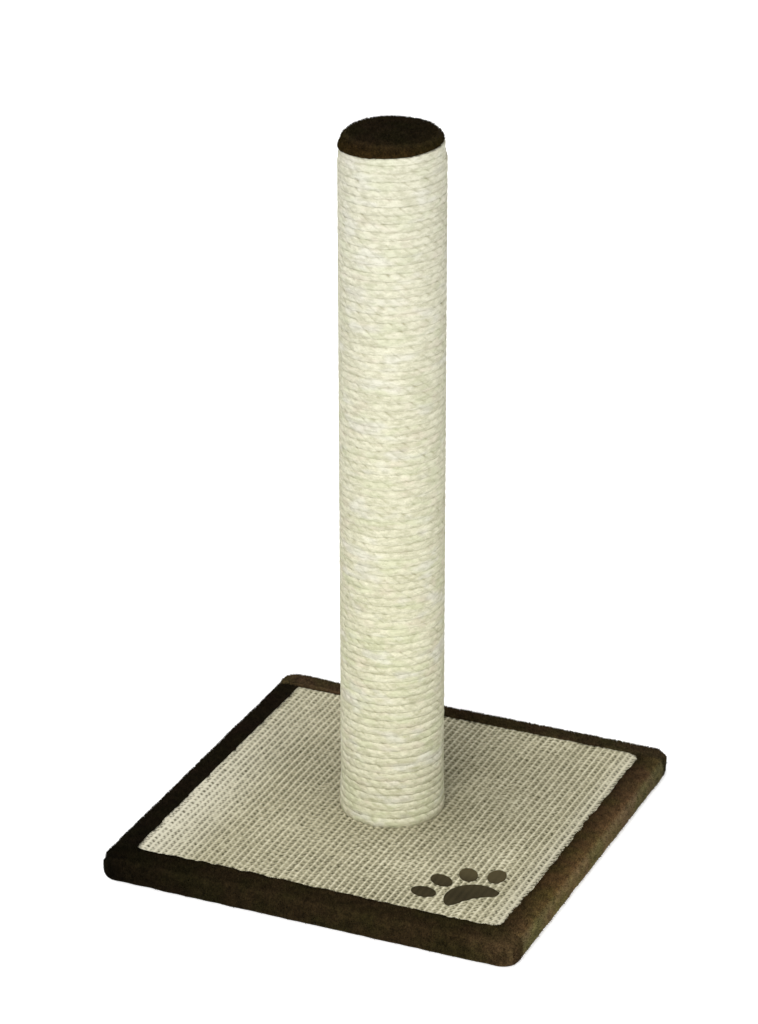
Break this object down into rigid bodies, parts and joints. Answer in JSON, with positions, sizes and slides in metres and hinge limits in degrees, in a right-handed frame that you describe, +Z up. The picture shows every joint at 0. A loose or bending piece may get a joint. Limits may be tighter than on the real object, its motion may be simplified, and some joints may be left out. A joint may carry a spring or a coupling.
{
  "type": "cat scratching post",
  "caption": "Upright post wound with sisal rope under a small plush cap, on a square base faced with a woven sisal mat and edged with plush.",
  "frame": {"origin": "on the floor under the post's axis, the middle of the base's underside", "axes": "+Z up along the post; -Y is the front, the side nearest the paw print is +X and -Y"},
  "size_m": [0.388, 0.388, 0.6515],
  "materials": {
    "board": "raw chipboard",
    "sisal_mat": "coarse ribbed weave",
    "plush": "short dark brown pile",
    "bright_wire": "galvanised wire",
    "cardboard_tube": "spirally wound, matt",
    "plug_wood": "sawn, raw",
    "zinc_steel": "zinc plated",
    "sisal_rope": "three-strand twisted fibre, matt",
    "wadding": "soft white wadding",
    "felt": "thin smooth felt"
  },
  "bodies": {
    "root": {"base_board": "board", "base_mat": "sisal_mat", "plush_front": "plush", "plush_right": "plush", "plush_back": "plush", "plush_left": "plush", "hem_staples": "bright_wire", "post_tube": "cardboard_tube", "bottom_plug": "plug_wood", "top_plug": "plug_wood", "bottom_plug_nails": "bright_wire", "top_plug_nails": "bright_wire", "tee_nut": "zinc_steel", "bolt": "zinc_steel", "bolt_washer": "zinc_steel", "rope_bottom_turns": "sisal_rope", "rope_middle_turns": "sisal_rope", "rope_top_turns": "sisal_rope", "cap_padding": "wadding", "cap_plush": "plush", "cap_staples": "bright_wire", "paw_print": "felt"}
  },
  "joints": []
}
